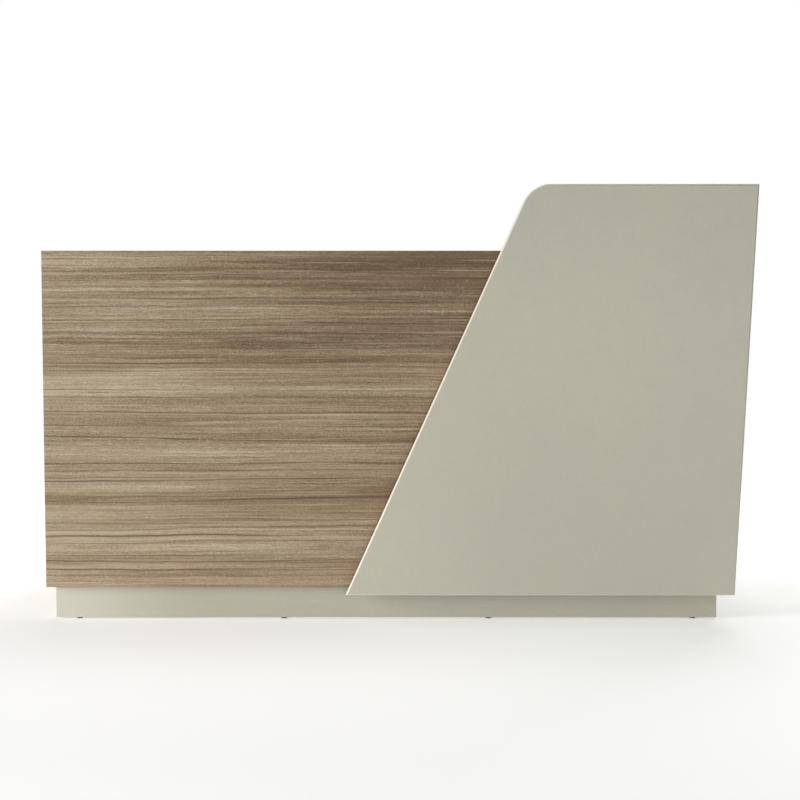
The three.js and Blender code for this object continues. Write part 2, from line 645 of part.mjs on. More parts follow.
// Keyboard tray across the knee space, with a rounded working edge, on rails in two channels.
function keyboardTray() {
  const top = zUnder - KEYBOARD_SPACE;
  const y = [yEdge - KEYBOARD_SETBACK - KEYBOARD_DEPTH, yEdge - KEYBOARD_SETBACK];
  const x = [pedestalSide[1] + slideSpace, cabinetSide[0] - slideSpace];
  const nose = BOARD_THICKNESS / 2;
  const outline = new THREE.Shape();
  outline.moveTo(0, 0);
  outline.absarc(KEYBOARD_DEPTH - nose, nose, nose, -QUARTER_TURN, QUARTER_TURN, false);
  outline.lineTo(0, BOARD_THICKNESS);
  const level = top - nose;
  const reach = RUNNER_WIDTH + RUNNER_STANDOFF - FIT;
  const length = yCarcass - RUNNER_INSET - y[0];
  const yStart = y[0] - RUNNER_END_SPACE;
  const channelLength = length + RUNNER_END_SPACE;
  const railAt = (way, face) => [face + way * FIT, y[0], level];
  return [
    sideBoard("keyboard_tray", WOOD_GRAIN, x, y, [top - BOARD_THICKNESS, top], outline),
    piece("keyboard_rail_left", ZINC_STEEL, rail(1, reach, length), railAt(1, pedestalSide[1])),
    piece("keyboard_rail_right", ZINC_STEEL, rail(-1, reach, length), railAt(-1, cabinetSide[0])),
    channel("keyboard_runner_left", 1, pedestalSide[1], yStart, channelLength, level),
    channel("keyboard_runner_right", -1, cabinetSide[0], yStart, channelLength, level),
  ];
}

// One leaf of a butt hinge, drawn round its own axis. Knuckles are the stretches of barrel that it carries,
// and the leaf's plate is cut back behind the knuckles of the other leaf.
function hingeLeaf(knuckles, plate, carriesPin) {
  const cutBack = KNUCKLE_RADIUS + RUNNING_GAP;
  let leaf = solid(block(plate, [-cutBack - LEAF_DEPTH, -cutBack], [0, HINGE_LENGTH]));
  for (const knuckle of knuckles) {
    const barrel = post(KNUCKLE_RADIUS, span(knuckle), ROUND_SIDES).translate(0, 0, knuckle[0]);
    leaf = leaf.add(solid(barrel)).add(solid(block(plate, [-cutBack - LEAF_THICKNESS, 0], knuckle)));
  }
  if (carriesPin) return fromSolid(leaf.add(solid(post(PIN_RADIUS, HINGE_LENGTH, ROUND_SIDES))));
  const bore = post(PIN_RADIUS + RUNNING_GAP, 2 * HINGE_LENGTH, ROUND_SIDES);
  return fromSolid(leaf.subtract(solid(bore.translate(0, 0, -HINGE_LENGTH / 2))));
}

// Cabinet door and its two hinges, on the inner face of the right end panel.
function door() {
  const gap = 2 * (LEAF_THICKNESS + FIT) + RUNNING_GAP;
  const x = [cabinetSide[0] + REVEAL, xInnerRight - gap];
  const z = [zBase + REVEAL, zUnder - REVEAL];
  const axisX = xInnerRight - KNUCKLE_RADIUS - RUNNING_GAP;
  const axisY = yFronts + KNUCKLE_RADIUS + RUNNING_GAP;
  const framePlate = [xInnerRight - FIT - LEAF_THICKNESS - axisX, xInnerRight - FIT - axisX];
  const doorPlate = [x[1] + FIT - axisX, x[1] + FIT + LEAF_THICKNESS - axisX];
  const third = HINGE_LENGTH / 3;
  const ends = [
    [0, third - RUNNING_GAP / 2],
    [2 * third + RUNNING_GAP / 2, HINGE_LENGTH],
  ];
  const middle = [[third + RUNNING_GAP / 2, 2 * third - RUNNING_GAP / 2]];
  const handlePlace = [x[0] + HANDLE_SIDE_INSET, yFronts, z[1] - HANDLE_DROP - HANDLE_SPAN / 2];
  const handle = piece("door_handle", SATIN_METAL, bowHandle(), handlePlace);
  handle.rotation.y = QUARTER_TURN;
  const pieces = [frontBoard("door", WOOD_GRAIN, x, [yFrontBacks, yFronts], z), handle];
  const levels = { lower: z[0] + HINGE_INSET, upper: z[1] - HINGE_INSET };
  for (const [where, level] of Object.entries(levels)) {
    const place = [axisX, axisY, level - HINGE_LENGTH / 2];
    pieces.push(piece(`hinge_${where}_frame_leaf`, SATIN_METAL, hingeLeaf(ends, framePlate, true), place));
    pieces.push(piece(`hinge_${where}_door_leaf`, SATIN_METAL, hingeLeaf(middle, doorPlate, false), place));
  }
  return pieces;
}

// Catch on the cabinet's side, just behind the closed door: a magnet's housing between two screw ears.
function doorCatch() {
  const half = CATCH_LENGTH / 2;
  const housing = half - CATCH_EAR_LENGTH;
  const upper = [
    [CATCH_WIDTH, housing],
    [CATCH_EAR_THICKNESS, housing],
    [CATCH_EAR_THICKNESS, half],
    [0, half],
  ];
  const lower = upper.map(([x, z]) => [x, -z]).reverse();
  const corners = [...upper, ...lower].map(([x, z]) => new THREE.Vector2(x, z));
  const level = zUnder - REVEAL - CATCH_DROP;
  const place = [cabinetSide[1] + FIT, yCarcass - CATCH_DEPTH, level];
  return piece("door_catch", BLACK_PLASTIC, section(new THREE.Shape(corners), CATCH_DEPTH), place);
}

function cabinetShelf() {
  const x = [cabinetSide[1] + FIT, xInnerRight - FIT];
  const clear = [zBase + BOARD_THICKNESS, zUnder];
  const bottom = clear[0] + (span(clear) - BOARD_THICKNESS) / 2;
  const y = [yInside + FIT, yCarcass - CABINET_SHELF_SETBACK];
  return flatBoard("cabinet_shelf", PALE_BOARD, x, y, [bottom, bottom + BOARD_THICKNESS]);
}

// Grommet sleeve pushed into the worktop, and the notched cap that turns on a ledge inside it.
function grommet() {
  const bore = GROMMET_RADIUS - GROMMET_WALL - GROMMET_LEDGE;
  const seat = GROMMET_RADIUS - GROMMET_WALL;
  const rim = FIT + GROMMET_FLANGE_HEIGHT;
  const ledge = rim - CAP_THICKNESS - FIT;
  const sleeve = [
    [bore, -PANEL_THICKNESS],
    [GROMMET_RADIUS, -PANEL_THICKNESS],
    [GROMMET_RADIUS, FIT],
    [GROMMET_RADIUS + GROMMET_FLANGE, FIT],
    [GROMMET_RADIUS + GROMMET_FLANGE, rim],
    [seat, rim],
    [seat, ledge],
    [bore, ledge],
    [bore, -PANEL_THICKNESS],
  ];
  const capRadius = seat - RUNNING_GAP;
  const halfNotch = CAP_NOTCH_WIDTH / 2;
  const edgeAngle = Math.asin(halfNotch / capRadius);
  const notchEnd = capRadius - CAP_NOTCH_DEPTH + halfNotch;
  const cap = new THREE.Shape();
  cap.absarc(0, 0, capRadius, QUARTER_TURN + edgeAngle, QUARTER_TURN - edgeAngle + 2 * Math.PI, false);
  cap.absarc(0, notchEnd, halfNotch, 0, -Math.PI, true);
  const settings = { depth: CAP_THICKNESS, bevelEnabled: false, curveSegments: GROMMET_SIDES / 2 };
  const pieces = [
    piece("grommet_sleeve", BLACK_PLASTIC, turned(sleeve, GROMMET_SIDES), [0, 0, 0]),
    piece("grommet_cap", BLACK_PLASTIC, new THREE.ExtrudeGeometry(cap, settings), [0, 0, ledge + FIT]),
  ];
  return gather(pieces, [xKnee, yInner + GROMMET_FROM_FRONT, DESK_HEIGHT]);
}

const cabinetInside = [cabinetSide[1], xInnerRight];
const pedestalKick = [xLeft + PLINTH_SETBACK + BOARD_THICKNESS, pedestalSide[0]];
const cabinetKick = [cabinetSide[1], xCarcass - PLINTH_SETBACK - BOARD_THICKNESS];

const desk = new THREE.Group();
desk.name = "reception_desk";
desk.add(gather(frontPanels()), gather(endPanels()), gather(plinth()));
desk.add(worktop(), grommet(), gather(counter()));
desk.add(gather(sideUnit("pedestal", pedestalSide, pedestalInside, pedestalKick)));
desk.add(gather(drawers()), strike());
desk.add(gather(sideUnit("cabinet", cabinetSide, cabinetInside, cabinetKick)));
desk.add(cabinetShelf(), doorCatch(), gather(door()));
desk.add(gather(keyboardTray()));

export default desk;
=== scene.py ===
# Looks of the reception desk: finishes for every board and fitting, the slanted panel and the bow handles
# modelled with round edges, and the small hardware that the working side shows.
import json
import math

import bmesh
import bpy
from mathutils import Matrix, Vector


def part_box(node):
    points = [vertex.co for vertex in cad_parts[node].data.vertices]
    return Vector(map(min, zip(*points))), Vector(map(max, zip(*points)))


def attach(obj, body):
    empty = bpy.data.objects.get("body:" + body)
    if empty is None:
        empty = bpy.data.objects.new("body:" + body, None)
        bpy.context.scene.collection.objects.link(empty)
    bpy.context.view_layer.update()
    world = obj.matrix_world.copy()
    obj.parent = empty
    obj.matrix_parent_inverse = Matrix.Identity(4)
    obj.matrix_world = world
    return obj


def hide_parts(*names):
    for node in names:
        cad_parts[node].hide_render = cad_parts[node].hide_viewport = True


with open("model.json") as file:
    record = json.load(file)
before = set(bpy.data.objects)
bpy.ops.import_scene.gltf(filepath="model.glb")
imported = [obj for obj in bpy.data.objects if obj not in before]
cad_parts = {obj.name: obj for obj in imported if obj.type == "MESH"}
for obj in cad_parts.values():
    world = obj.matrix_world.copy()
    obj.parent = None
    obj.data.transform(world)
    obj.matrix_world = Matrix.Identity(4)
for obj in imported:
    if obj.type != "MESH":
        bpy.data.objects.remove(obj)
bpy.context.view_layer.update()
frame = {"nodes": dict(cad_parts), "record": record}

QUARTER = math.pi / 2
MM = 0.001

SLANT = math.radians(24.2)  # of the slanted panel's left edge

# Camera, as the photograph was framed
CAMERA_PLACE = (0.0034, -3.8248, 0.7703)
CAMERA_PITCH = math.radians(3.38)
FOCAL_PIXELS = 1385.0
FRAME_PIXELS = 800
SENSOR_WIDTH = 36.0


def tint(red, green, blue):
    """A colour given as it shows on a screen, 0 to 255, for a shader."""
    def straight(level):
        level = level / 255
        return level / 12.92 if level <= 0.04045 else ((level + 0.055) / 1.055) ** 2.4
    return (straight(red), straight(green), straight(blue), 1.0)


# Nodes of a finish

# A Mix node's sockets when it mixes colours
MIX_FACTOR = 0
MIX_FIRST = 6
MIX_SECOND = 7
MIX_RESULT = 2


class Tone:
    """A socket in a finish. Arithmetic on it adds Math nodes."""

    def __init__(self, paint, socket):
        self.paint = paint
        self.socket = socket

    def __add__(self, other):
        return self.paint.maths("ADD", self, other)

    __radd__ = __add__

    def __sub__(self, other):
        return self.paint.maths("SUBTRACT", self, other)

    def __rsub__(self, other):
        return self.paint.maths("SUBTRACT", other, self)

    def __mul__(self, other):
        return self.paint.maths("MULTIPLY", self, other)

    __rmul__ = __mul__

    def __abs__(self):
        return self.paint.maths("ABSOLUTE", self)

    def __pow__(self, other):
        return self.paint.maths("POWER", self, other)

    def __mod__(self, other):
        return self.paint.maths("FLOORED_MODULO", self, other)


class Paint:
    """A tree of shader nodes."""

    def __init__(self, tree):
        self.tree = tree
        tree.nodes.clear()

    def node(self, kind, settings=None, sockets=None, output=0):
        made = self.tree.nodes.new(kind)
        for key, value in (settings or {}).items():
            if key == "stops":
                self.stops(made.color_ramp, value)
            else:
                setattr(made, key, value)
        for key, value in (sockets or {}).items():
            if isinstance(value, Tone):
                self.tree.links.new(value.socket, made.inputs[key])
            else:
                made.inputs[key].default_value = value
        return Tone(self, made.outputs[output]) if made.outputs else None

    @staticmethod
    def stops(ramp, wanted):
        while len(ramp.elements) > 1:
            ramp.elements.remove(ramp.elements[-1])
        ramp.elements[0].position, ramp.elements[0].color = wanted[0]
        for position, colour in wanted[1:]:
            ramp.elements.new(position).color = colour

    def maths(self, operation, *values):
        return self.node("ShaderNodeMath", {"operation": operation}, dict(enumerate(values)))

    def mix(self, mask, first, second):
        sockets = {MIX_FACTOR: mask, MIX_FIRST: first, MIX_SECOND: second}
        return self.node("ShaderNodeMix", {"data_type": "RGBA"}, sockets, MIX_RESULT)

    def rise(self, value, low, high):
        """0 below low, 1 above high, smooth between them."""
        sockets = {"Value": value, "From Min": low, "From Max": high}
        return self.node("ShaderNodeMapRange", {"interpolation_type": "SMOOTHSTEP"}, sockets)

    def parts(self, vector):
        split = self.node("ShaderNodeSeparateXYZ", None, {"Vector": vector}).socket.node
        return [Tone(self, socket) for socket in split.outputs]


class Finish(Paint):
    """A material read in a piece's own coordinates, in metres."""

    def __init__(self, name, **fixed):
        self.material = bpy.data.materials.new(name)
        self.material.use_nodes = True
        super().__init__(self.material.node_tree)
        self.shader = self.node("ShaderNodeBsdfPrincipled")
        self.node("ShaderNodeOutputMaterial", None, {"Surface": self.shader})
        self.place = self.node("ShaderNodeTexCoord", output="Object")
        self.facing = Tone(self, self.place.socket.node.outputs["Normal"])
        for socket, value in fixed.items():
            self.shader.socket.node.inputs[socket.replace("_", " ")].default_value = value

    def feed(self, **sockets):
        for name, value in sockets.items():
            self.tree.links.new(value.socket, self.shader.socket.node.inputs[name.replace("_", " ")])

    def stretched(self, scale, vector=None, turn=(0, 0, 0), shift=(0, 0, 0)):
        sockets = {"Vector": vector or self.place, "Scale": scale, "Rotation": turn, "Location": shift}
        return self.node("ShaderNodeMapping", None, sockets)

    def noise(self, scale, vector=None, detail=2.0, rough=0.5, shift=(0, 0, 0)):
        vector = self.stretched(scale, vector, shift=shift)
        sockets = {"Vector": vector, "Scale": 1.0, "Detail": detail, "Roughness": rough}
        return self.node("ShaderNodeTexNoise", None, sockets)

    def cells(self, scale, output=0):
        sockets = {"Vector": self.stretched((scale, scale, scale)), "Scale": 1.0}
        return self.node("ShaderNodeTexVoronoi", None, sockets, output)

    def bump(self, height, depth):
        return self.node("ShaderNodeBump", None, {"Height": height, "Distance": depth})

    def arris(self):
        """1 on the narrow slanted faces along a board's edges."""
        across, deep, up = (abs(part) for part in self.parts(self.facing))
        flattest = self.maths("MAXIMUM", self.maths("MAXIMUM", across, deep), up)
        return 1 - self.rise(flattest, 0.78, 0.95)


# Finishes

WOOD_DARK = tint(97, 76, 53)
WOOD_MIDDLE = tint(136, 115, 88)
WOOD_LIGHT = tint(170, 151, 125)
WOOD_PALE = tint(196, 180, 156)
WOOD_LINE = tint(76, 57, 37)
WOOD_STREAK = tint(186, 166, 139)
WOOD_EDGE = tint(104, 85, 63)
WOOD_WARM = tint(142, 114, 85)
LACQUER = tint(188, 184, 165)
LACQUER_COOL = tint(183, 181, 165)
# The next pale serves real wear and rubs, and also painted light and a painted highlight; the shade after
# it is painted shade
LACQUER_WORN_AND_LIT = tint(212, 209, 194)
LACQUER_SHADE = tint(128, 125, 112)
MELAMINE = tint(206, 203, 194)
MELAMINE_DARK = tint(190, 187, 178)
POWDER = tint(126, 129, 130)
POWDER_LIGHT = tint(150, 153, 154)
ZINC = (0.56, 0.58, 0.60, 1.0)
ZINC_WARM = (0.60, 0.59, 0.55, 1.0)
SATIN = (0.60, 0.60, 0.61, 1.0)
SATIN_DARK = (0.47, 0.47, 0.48, 1.0)
PLASTIC = tint(34, 34, 36)
PLASTIC_DUSTY = tint(58, 57, 56)
RUBBER = tint(150, 150, 146)
RUBBER_DARK = tint(122, 122, 118)

# Layers of the wood's grain, from broad to fine: scale along the grain and up the board, detail, roughness,
# shift and strength
GRAIN_LAYERS = {
    "broad": (0.6, 8, 2.0, 0.6, (2, 0, 5), 0.6),
    "bands": (1.2, 34, 3.0, 0.6, (3, 0, 7), 0.8),
    "lines": (1.5, 210, 2.0, 0.6, (9, 2, 0), 0.75),
    "dashes": (11, 260, 2.0, 0.6, (2, 9, 5), 0.45),
    "fibre": (70, 560, 2.0, 0.7, (1, 5, 2), 0.55),
    "speckle": (330, 430, 1.0, 0.5, (4, 4, 4), 0.9),
}
WOOD_STOPS = [(0.2, WOOD_DARK), (0.5, WOOD_MIDDLE), (0.8, WOOD_LIGHT), (1.0, WOOD_PALE)]


def growth_lines(finish, grain, number, width, least):
    """Level lines, number to the metre of height, that never cross. width is a part of their spacing. The
    strength of a line is taken by lot, and a lot below least leaves it out."""
    up = finish.parts(grain)[2]
    wander = finish.noise((0.5, 0.5, number * 0.3), grain, detail=1.0, rough=0.4, shift=(number, 1, 3))
    count = up * number + (wander - 0.5) * 3
    within = count % 1
    lot = finish.node("ShaderNodeTexWhiteNoise", {"noise_dimensions": "1D"}, {"W": count - within})
    fading = finish.noise((1.4, 1.4, number), grain, detail=1.0, shift=(2, 8, number))
    strength = finish.rise(lot, least, 1.0) * (0.3 + finish.rise(fading, 0.35, 0.6) * 0.7)
    away = abs(within - 0.5)
    core = 1 - finish.rise(away, width * 0.2, width)
    halo = 1 - finish.rise(away, 0, 0.4)
    return (core * 0.8 + halo * 0.2) * strength


def wood_grain(name, face_axis, turn=(0, 0, 0), front=None):
    """Grey-brown laminate with fine level grain. face_axis is the axis that its broad faces look along, and
    front gives the front board's own tone and painted shade."""
    finish = Finish(name, Specular_IOR_Level=0.4)
    board = finish.stretched((1, 1, 1), turn=turn)
    sway = finish.noise((1.3, 1.3, 4), board, detail=1.0)
    wobble = finish.noise((8, 8, 26), board, detail=1.0, shift=(3, 3, 3))
    lift = (sway - 0.5) * 0.012 + (wobble - 0.5) * 0.005
    drift = finish.node("ShaderNodeCombineXYZ", None, {"Z": lift})
    grain = finish.node("ShaderNodeVectorMath", {"operation": "ADD"}, {0: board, 1: drift})
    tone = 0.5
    layers = {}
    for layer, (along, up, detail, rough, shift, strength) in GRAIN_LAYERS.items():
        layers[layer] = finish.noise((along, along, up), grain, detail, rough, shift)
        tone = tone + (layers[layer] - 0.5) * strength
    fibre = layers["fibre"]
    # the front board adds its tone bands, painted shade and a painted contact shadow
    if front:
        tone = tone + front(finish)
    colour = finish.node("ShaderNodeValToRGB", {"stops": WOOD_STOPS}, {"Fac": tone})
    warmth = finish.rise(finish.noise((0.5, 0.5, 12), grain, shift=(4, 7, 2)), 0.4, 0.64)
    colour = finish.mix(warmth * 0.3, colour, WOOD_WARM)
    # thin lines that run along the board, and pale streaks that fade in and out
    dark_line = growth_lines(finish, grain, number=43, width=0.1, least=0.05) * 0.9
    fine_line = growth_lines(finish, grain, number=118, width=0.17, least=0.2) * 0.7
    pale_line = growth_lines(finish, grain, number=71, width=0.1, least=0.45) * 0.6
    colour = finish.mix(pale_line, colour, WOOD_STREAK)
    colour = finish.mix(dark_line, colour, WOOD_LINE)
    colour = finish.mix(fine_line, colour, WOOD_LINE)
    glint = finish.noise((2.6, 2.6, 260), grain, detail=1.0, shift=(7, 3, 9))
    streak = finish.rise(glint, 0.62, 0.7)
    colour = finish.mix(streak * 0.55, colour, WOOD_STREAK)
    # short marks across the grain, in some bands only
    ray = finish.noise((120, 120, 44), grain, detail=2.0, rough=0.7, shift=(6, 6, 1))
    ray_band = finish.rise(finish.noise((3, 3, 34), grain, detail=1.0, shift=(8, 8, 8)), 0.5, 0.66)
    colour = finish.mix(finish.rise(ray, 0.56, 0.7) * ray_band * 0.42, colour, WOOD_STREAK)
    # the board's edges carry a plainer, darker band, rubbed pale on its arrises
    face = abs(finish.parts(finish.facing)[face_axis])
    edge = 1 - finish.rise(face, 0.35, 0.85)
    band = finish.mix(fibre * 0.6, WOOD_EDGE, WOOD_MIDDLE)
    colour = finish.mix(edge * 0.8, colour, band)
    rub = finish.arris() * finish.rise(finish.noise((40, 40, 40), detail=3.0), 0.5, 0.7)
    colour = finish.mix(rub * 0.3, colour, WOOD_STREAK)
    height = layers["lines"] * 0.5 + fibre * 0.6 - dark_line * 0.5
    finish.feed(
        Base_Color=colour,
        Roughness=0.52 + (fibre - 0.5) * 0.25 + dark_line * 0.1 - streak * 0.05,
        Normal=finish.bump(height, 0.00025),
    )
    return finish.material


# Broad bands of the front board's sheet: height, half width, and how much paler
SHEET_BANDS = ((0.585, 0.075, 0.2), (0.475, 0.05, -0.08), (0.34, 0.05, -0.16), (0.1, 0.04, -0.12))


def front_tone_and_painted_shade(finish):
    """The front board's sheet is darker towards its top as painted shade, and towards its middle as
    painted shade and its own tone together. It has a pale band half-way up, and along the slanted panel
    a painted contact shadow on its outer face."""
    across, _, up = finish.parts(finish.place)
    low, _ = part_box("slanted_panel")
    joint = low.x + (up - low.z) * math.tan(SLANT)
    away = (joint - across) * math.cos(SLANT)
    outside = finish.rise(0 - finish.parts(finish.facing)[1], 0.5, 0.9)
    # painted contact shadow: a thin dark line and a soft spread on the wood beside the slanted panel
    dust_and_painted_shadow = (1 - finish.rise(away, 0, 0.03)) * 0.08 + (1 - finish.rise(away, 0.001, 0.004)) * 0.22
    # painted shade: darker towards the top, and towards the middle partly as painted shade
    painted_shade = finish.rise(up, 0.08, 0.95) * 0.235 + finish.rise(across, -0.95, 0.1) * 0.25
    bands = 0.0
    for level, half, strength in SHEET_BANDS:
        bands = bands + (1 - finish.rise(abs(up - level), 0, half)) * strength
    return 0.39 - painted_shade - dust_and_painted_shadow * outside + bands


def scuffs(finish):
    """Faint level rubs, stronger near the floor."""
    mark = finish.rise(finish.noise((14, 14, 190), detail=3.0, rough=0.65, shift=(2, 3, 1)), 0.6, 0.74)
    low = 1 - finish.rise(finish.parts(finish.place)[2], 0.02, 0.14)
    return mark * (0.12 + low * 0.5)


def panel_painted_shade(finish):
    """The slanted panel is a little darker low down on its right, as painted shade."""
    across, _, up = finish.parts(finish.place)
    return (1 - finish.rise(up, 0.15, 0.85)) * finish.rise(across, -0.05, 0.35) * 0.14


def plinth_painted_light_and_shade(finish):
    """The plinth is duller all along, duller again under the slanted panel as painted shadow, and paler
    towards its left end as painted light.
    """
    across = finish.parts(finish.place)[0]
    return 0.17 + finish.rise(across, -0.1, 0.25) * 0.1 - (1 - finish.rise(across, -0.9, -0.5)) * 0.55


def end_painted_shade(finish):
    """The plinth's left end is darker as painted shade against the light from the left, with a mottle of
    scuffs.
    """
    return 0.3 + (finish.noise((24, 24, 24), detail=3.0) - 0.5) * 0.3


def lacquer(name, painted_shade=None, painted_arris_highlight=0.0):
    """Satin grey-beige lacquer, with the slight ripple of a sprayed coat. The second argument gives
    how far it is darkened as painted shade, or made pale as painted light where that is below 0. The third
    argument is how far its arrises are painted pale all along, as a painted highlight."""
    finish = Finish(name, Specular_IOR_Level=0.5)
    cloud = finish.noise((2.2, 2.2, 2.2), detail=3.0)
    mottle = finish.noise((38, 38, 38), detail=3.0, rough=0.6, shift=(3, 1, 2))
    ripple = finish.noise((240, 240, 240), detail=1.0)
    grit = finish.noise((1500, 1500, 1500), detail=1.0)
    flecks = finish.noise((330, 330, 330), detail=1.0, shift=(5, 2, 8))
    colour = finish.mix(finish.rise(cloud * 0.6 + mottle * 0.4, 0.36, 0.64), LACQUER, LACQUER_COOL)
    colour = finish.mix((grit - 0.5) * 0.12 + (flecks - 0.5) * 0.4 + 0.1, colour, LACQUER_WORN_AND_LIT)
    # painted shade and painted light: darkened where the shading is above 0, made pale where it is below 0
    if painted_shade:
        painted_darkening = painted_shade(finish)
        colour = finish.mix(painted_darkening, colour, LACQUER_SHADE)
        colour = finish.mix((0 - painted_darkening) * 2, colour, LACQUER_WORN_AND_LIT)
    marks = scuffs(finish)
    colour = finish.mix(marks * 0.45, colour, LACQUER_WORN_AND_LIT)
    patches = finish.rise(finish.noise((55, 55, 55), detail=3.0), 0.48, 0.66)
    # real rubbed patches on the arrises, plus a painted highlight along every arris where the third
    # argument is set
    colour = finish.mix(finish.arris() * (painted_arris_highlight + patches * (0.6 - painted_arris_highlight * 0.4)), colour, LACQUER_WORN_AND_LIT)
    height = ripple * 0.8 + grit * 0.2
    rough = 0.36 + (mottle - 0.5) * 0.14 + marks * 0.12
    finish.feed(Base_Color=colour, Roughness=rough, Normal=finish.bump(height, 0.00012))
    return finish.material


def melamine(name):
    """Pale fine-textured melamine with short pores."""
    finish = Finish(name, Specular_IOR_Level=0.3)
    cloud = finish.noise((3, 3, 3), detail=3.0)
    pore = finish.noise((90, 700, 700), detail=2.0, rough=0.6)
    grit = finish.noise((1100, 1100, 1100), detail=1.0, shift=(2, 2, 2))
    pitted = finish.rise(pore, 0.58, 0.7)
    colour = finish.mix(finish.rise(cloud, 0.35, 0.65) * 0.5 + pitted * 0.35, MELAMINE, MELAMINE_DARK)
    rub = finish.arris() * finish.rise(finish.noise((60, 60, 60), detail=3.0), 0.5, 0.68)
    colour = finish.mix(rub * 0.5, colour, WOOD_STREAK)
    height = grit * 0.5 - pitted * 0.6
    rough = 0.62 + (grit - 0.5) * 0.2 + pitted * 0.1
    finish.feed(Base_Color=colour, Roughness=rough, Normal=finish.bump(height, 0.00012))
    return finish.material


def powder_coat(name):
    """Grey powder coat on sheet steel: a fine even pebble, slightly polished where hands and papers rub."""
    finish = Finish(name)
    pebble = finish.noise((900, 900, 900), detail=2.0, rough=0.6)
    cloud = finish.noise((6, 6, 6), detail=3.0)
    colour = finish.mix(finish.rise(cloud, 0.35, 0.7) * 0.45 + (pebble - 0.5) * 0.5, POWDER, POWDER_LIGHT)
    polish = finish.rise(finish.noise((18, 70, 18), detail=3.0, shift=(5, 5, 0)), 0.58, 0.72)
    rough = 0.58 + (pebble - 0.5) * 0.2 - polish * 0.12
    finish.feed(Base_Color=colour, Roughness=rough, Normal=finish.bump(pebble, 0.00018))
    return finish.material


def zinc_steel(name):
    """Zinc-plated steel with a faint spangle and fine marks along the way it runs."""
    finish = Finish(name, Metallic=1.0)
    spangle = finish.cells(420, output="Color")
    sparkle = finish.parts(spangle)[0]
    tarnish = finish.noise((22, 22, 22), detail=3.0, rough=0.6)
    scratch = finish.noise((900, 16, 900), detail=2.0, rough=0.65)
    colour = finish.mix(finish.rise(tarnish, 0.42, 0.68), ZINC, ZINC_WARM)
    colour = finish.mix((sparkle - 0.5) * 0.16 + 0.08, colour, SATIN_DARK)
    rough = 0.3 + (sparkle - 0.5) * 0.1 + (scratch - 0.5) * 0.22 + (tarnish - 0.5) * 0.15
    finish.feed(Base_Color=colour, Roughness=rough, Normal=finish.bump(scratch, 0.00005))
    return finish.material


def satin_metal(name, along):
    """Brushed steel. along is the scale of the brushing on each axis, small on the axis it follows."""
    finish = Finish(name, Metallic=1.0)
    brush = finish.noise(along, detail=3.0, rough=0.7)
    touch = finish.noise((45, 45, 45), detail=3.0, rough=0.6, shift=(1, 2, 3))
    colour = finish.mix(finish.rise(brush, 0.3, 0.7), SATIN_DARK, SATIN)
    rough = 0.26 + (brush - 0.5) * 0.25 + finish.rise(touch, 0.5, 0.7) * 0.08
    finish.feed(Base_Color=colour, Roughness=rough, Normal=finish.bump(brush, 0.00004))
    return finish.material


def moulded(name, base, dusty):
    """Moulded plastic or rubber with a fine spark-eroded grain and a little dust."""
    finish = Finish(name)
    grain = finish.cells(1400)
    dust_and_painted_shadow = finish.noise((70, 70, 70), detail=4.0, rough=0.65)
    colour = finish.mix(finish.rise(dust_and_painted_shadow, 0.45, 0.75) * 0.5, base, dusty)
    rough = 0.46 + (dust_and_painted_shadow - 0.5) * 0.3 + grain * 0.08
    finish.feed(Base_Color=colour, Roughness=rough, Normal=finish.bump(grain, 0.0001))
    return finish.material


finishes = {
    "wood_grain": wood_grain("wood_grain", 1),
    "grey_lacquer": lacquer("grey_lacquer"),
    "pale_board": melamine("pale_board"),
    "powder_coat": powder_coat("powder_coat"),
    "zinc_steel": zinc_steel("zinc_steel"),
    "satin_metal": satin_metal("satin_metal", (40, 900, 900)),
    "black_plastic": moulded("black_plastic", PLASTIC, PLASTIC_DUSTY),
}
own_finishes = {
    "front_panel": wood_grain("wood_grain_front", 1, front=front_tone_and_painted_shade),
    "left_end_panel": wood_grain("wood_grain_end", 0),
    "keyboard_tray": wood_grain("wood_grain_tray", 2, turn=(QUARTER, 0, 0)),
    # painted shade and painted light: the slanted panel is shaded low on its right with a painted highlight
    # on its arrises; the plinth is shaded, with painted light at its left end
    "slanted_panel": lacquer("grey_lacquer_panel", painted_shade=panel_painted_shade, painted_arris_highlight=0.8),
    "plinth_front": lacquer("grey_lacquer_plinth", painted_shade=plinth_painted_light_and_shade),
    "plinth_left": lacquer("grey_lacquer_end", painted_shade=end_painted_shade),
    "door_handle": satin_metal("satin_metal_upright", (900, 900, 40)),
}
rubber = moulded("bumper_rubber", RUBBER, RUBBER_DARK)

slots = {part["node"]: part["material_slot"] for part in frame["record"]["subparts"]}
riders = {}
for body, nodes in frame["record"]["behaviour"]["bodies"].items():
    for node in nodes:
        riders[node] = body


def finish_of(node):
    return own_finishes.get(node, finishes[slots[node]])


for node, solid in frame["nodes"].items():
    solid.material_slots[0].material = finish_of(node)


# Modelling by hand

WELD = 0.01 * MM
SOLID_WELD = 0.001 * MM
FLAT = math.radians(0.5)
# Turns that still shade as one face, in degrees
BOARD_TURN = 35
FITTING_TURN = 40
ROUND_TURN = 50


def near(first, second):
    return abs(first - second) < WELD


def begin(name, add, **settings):
    """Adds a primitive and opens it for editing."""
    bpy.ops.object.select_all(action="DESELECT")
    add(**settings)
    piece = bpy.context.object
    piece.name = name
    piece.data.name = name
    bpy.ops.object.mode_set(mode="EDIT")
    bpy.ops.mesh.select_mode(type="VERT")
    return piece


